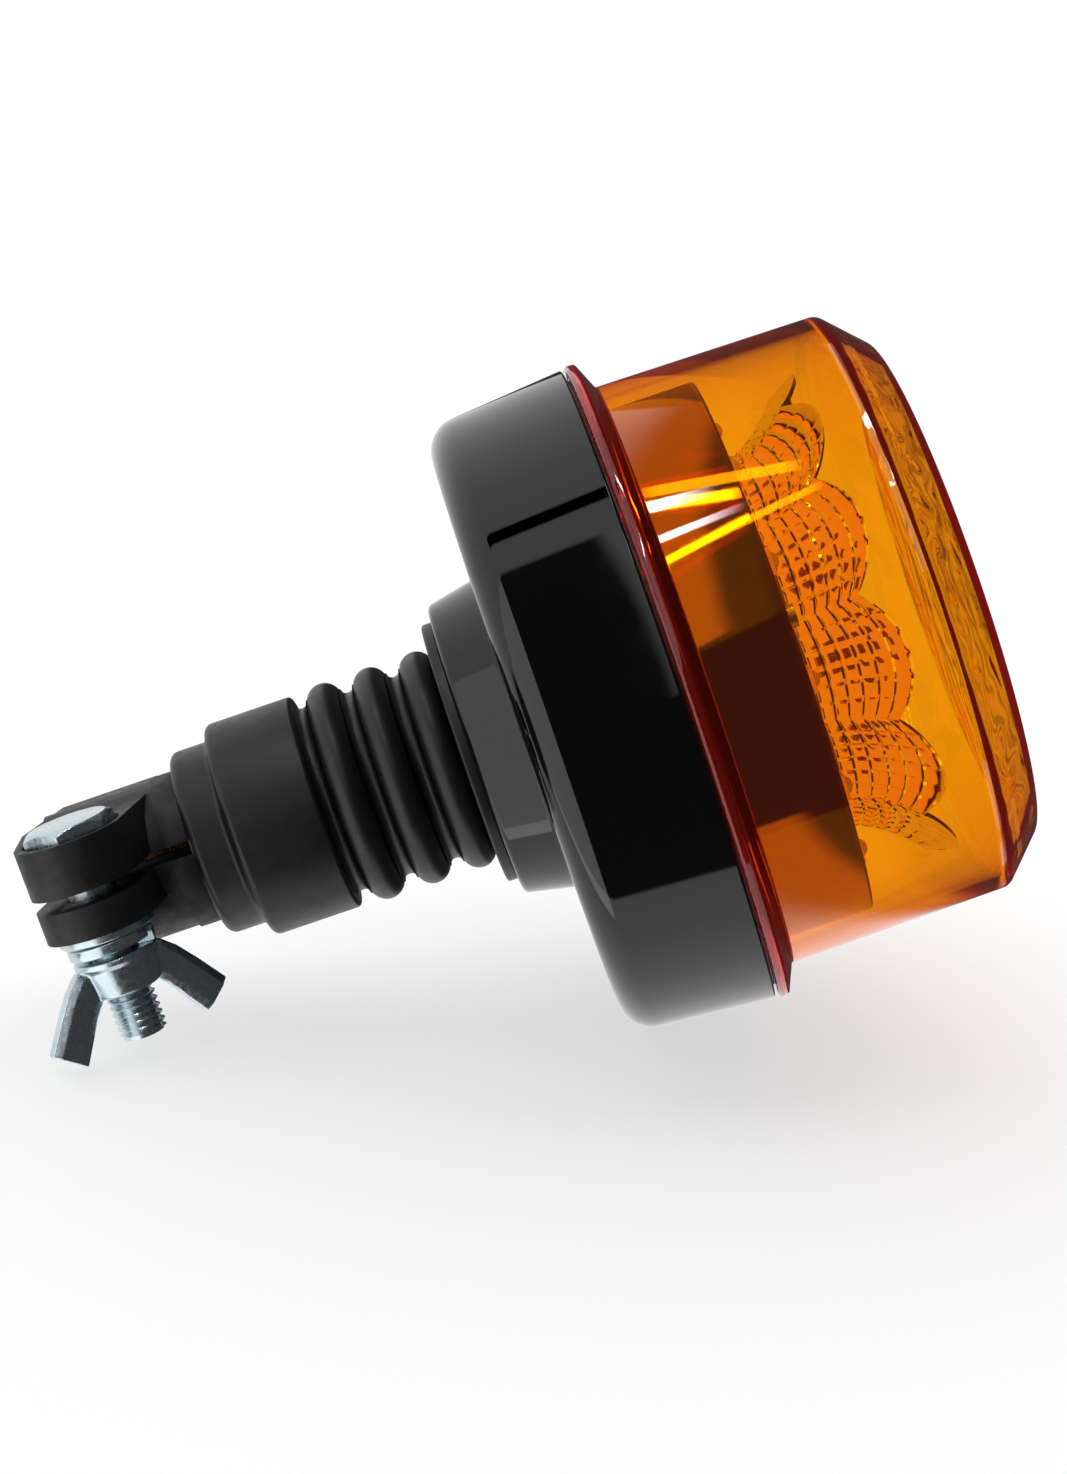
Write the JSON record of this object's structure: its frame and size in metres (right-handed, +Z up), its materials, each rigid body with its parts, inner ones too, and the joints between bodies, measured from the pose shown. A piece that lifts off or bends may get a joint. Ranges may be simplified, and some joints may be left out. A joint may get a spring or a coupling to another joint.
{
  "type": "rotating beacon",
  "caption": "Amber LED warning beacon on a flexible rubber stem, with a split nylon clamp, bolt and wing nut that grip a 24 mm pole spigot.",
  "frame": {"origin": "centre of the pole socket's mouth, on the socket's axis", "axes": "+Z up the socket and the stem to the lens, -Y towards the clamp lugs, +X along the clamp bolt towards the wing nut"},
  "size_m": [0.1364, 0.1364, 0.2026],
  "materials": {
    "nylon": "matt, moulded",
    "gloss_black": "glossy, moulded",
    "rubber": "satin, moulded",
    "zinc_steel": "bright zinc plate",
    "spring_steel": "plain",
    "brass": "stamped and turned",
    "insulator": "moulded",
    "circuit_board": "solder resist over glass fibre",
    "capacitor_can": "sleeved",
    "ferrite": "sintered or moulded",
    "lead_red": "extruded",
    "lead_black": "extruded",
    "aluminium": "cast",
    "led_resin": "clear dome over phosphor",
    "metallised": "vacuum metallised",
    "amber_clear": "clear, polished mould"
  },
  "bodies": {
    "clamp": {"clamp_body": "nylon", "clamp_bolt": "zinc_steel", "contact_housing": "insulator", "contact_spring": "spring_steel", "contact_terminal": "brass", "ground_contact": "brass"},
    "plunger": {"contact_plunger": "brass"},
    "washers": {"flat_washer": "zinc_steel", "spring_washer": "zinc_steel"},
    "wing_nut": {"wing_nut": "zinc_steel"},
    "stem": {"stem_bellows": "rubber", "lead_positive": "lead_red", "lead_negative": "lead_black"},
    "head": {"stem_insert": "spring_steel", "stem_screws": "spring_steel", "base_cup": "gloss_black", "driver_board": "circuit_board", "driver_capacitors": "capacitor_can", "driver_coil": "ferrite", "driver_chips": "ferrite", "driver_screws": "spring_steel", "led_lead": "lead_black", "carrier_drum": "gloss_black", "carrier_screws": "spring_steel", "heat_sink": "aluminium", "led_board": "circuit_board", "board_screws": "spring_steel", "led_emitters": "led_resin", "reflector": "metallised", "reflector_screws": "spring_steel", "lens_seal": "rubber", "lens": "amber_clear"}
  },
  "joints": [
    {"name": "contact_press", "type": "slide", "parent": "clamp", "child": "plunger", "axis": [0, 0, 1], "range_m": [0, 0.004], "stiffness_N_per_m": 600, "springref_m": -0.002, "deforming": ["contact_spring"]},
    {"name": "nut_travel", "type": "slide", "parent": "clamp", "child": "washers", "axis": [1, 0, 0], "range_m": [0, 0.006]},
    {"name": "nut_turn", "type": "hinge", "parent": "washers", "child": "wing_nut", "pos_m": [0.01115, -0.0214, 0.0074], "axis": [1, 0, 0], "range_deg": [0, 1440]},
    {"name": "stem_lower_flex", "type": "hinge", "parent": "clamp", "child": "stem", "pos_m": [0, 0, 0.058], "axis": [1, 0, 0], "range_deg": [-18, 18], "stiffness_Nm_per_rad": 12, "deforming": ["stem_bellows", "lead_positive", "lead_negative"]},
    {"name": "stem_upper_flex", "type": "hinge", "parent": "stem", "child": "head", "pos_m": [0, 0, 0.078], "axis": [0, 1, 0], "range_deg": [-18, 18], "stiffness_Nm_per_rad": 12, "deforming": ["stem_bellows", "lead_positive", "lead_negative"]}
  ],
  "couplings": [
    {"joint": "nut_travel", "follows": "nut_turn", "m_per_rad": 0.00023873}
  ]
}
